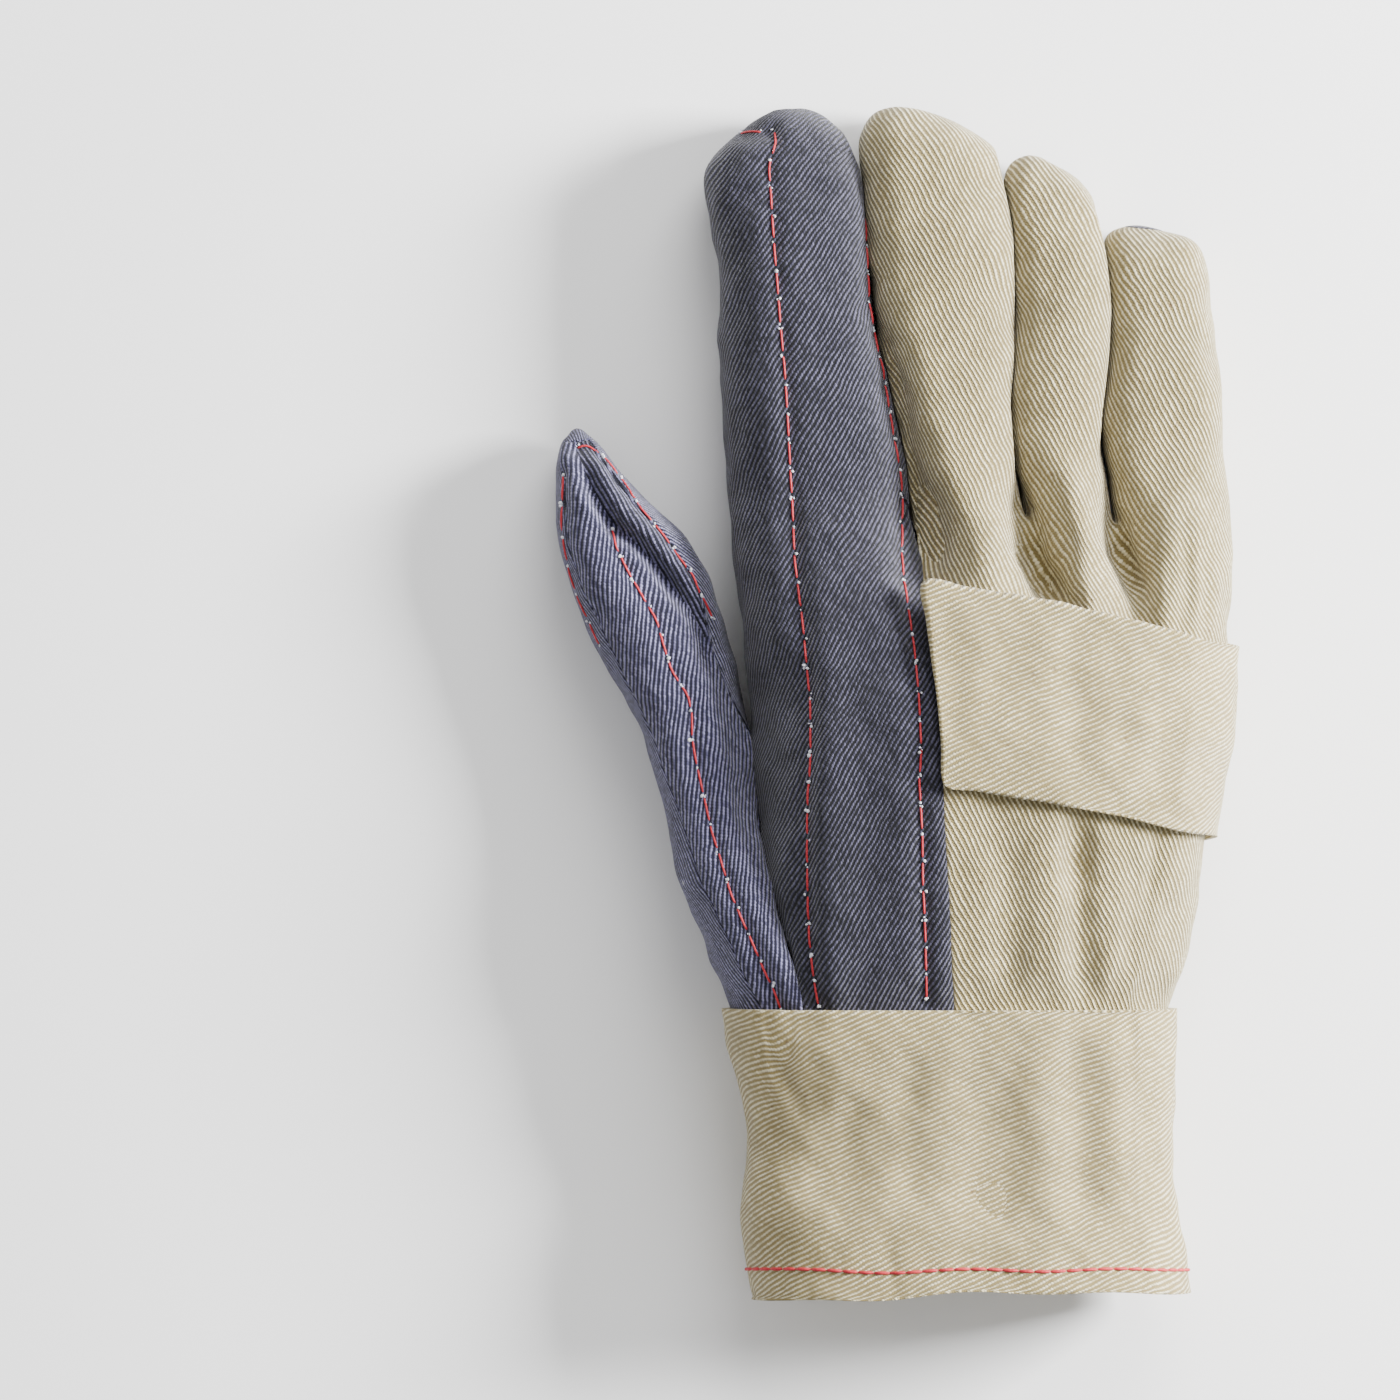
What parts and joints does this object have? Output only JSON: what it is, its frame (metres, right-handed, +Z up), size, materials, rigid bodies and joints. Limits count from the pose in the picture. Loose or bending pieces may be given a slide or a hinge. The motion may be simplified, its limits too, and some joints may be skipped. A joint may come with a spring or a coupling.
{
  "type": "high heat work glove",
  "caption": "Heat resistant work glove for the right hand, with a denim palm, canvas back, knuckle strap and band cuff, lying palm down.",
  "frame": {"origin": "on the floor under the middle of the palm, where the glove rests", "axes": "+Y towards the fingertips, +X towards the little finger, +Z up out of the back of the hand"},
  "size_m": [0.153, 0.2674, 0.0487],
  "materials": {
    "denim": "blue-grey cotton denim twill, matt, with red quilting thread",
    "canvas": "undyed cotton canvas twill, cream, matt, with small brown seed specks"
  },
  "bodies": {
    "root": {"palm_panel": "denim", "back_panel": "canvas", "thumb_top": "denim", "thumb_under": "denim", "cuff": "canvas", "knuckle_strap": "canvas"}
  },
  "joints": []
}
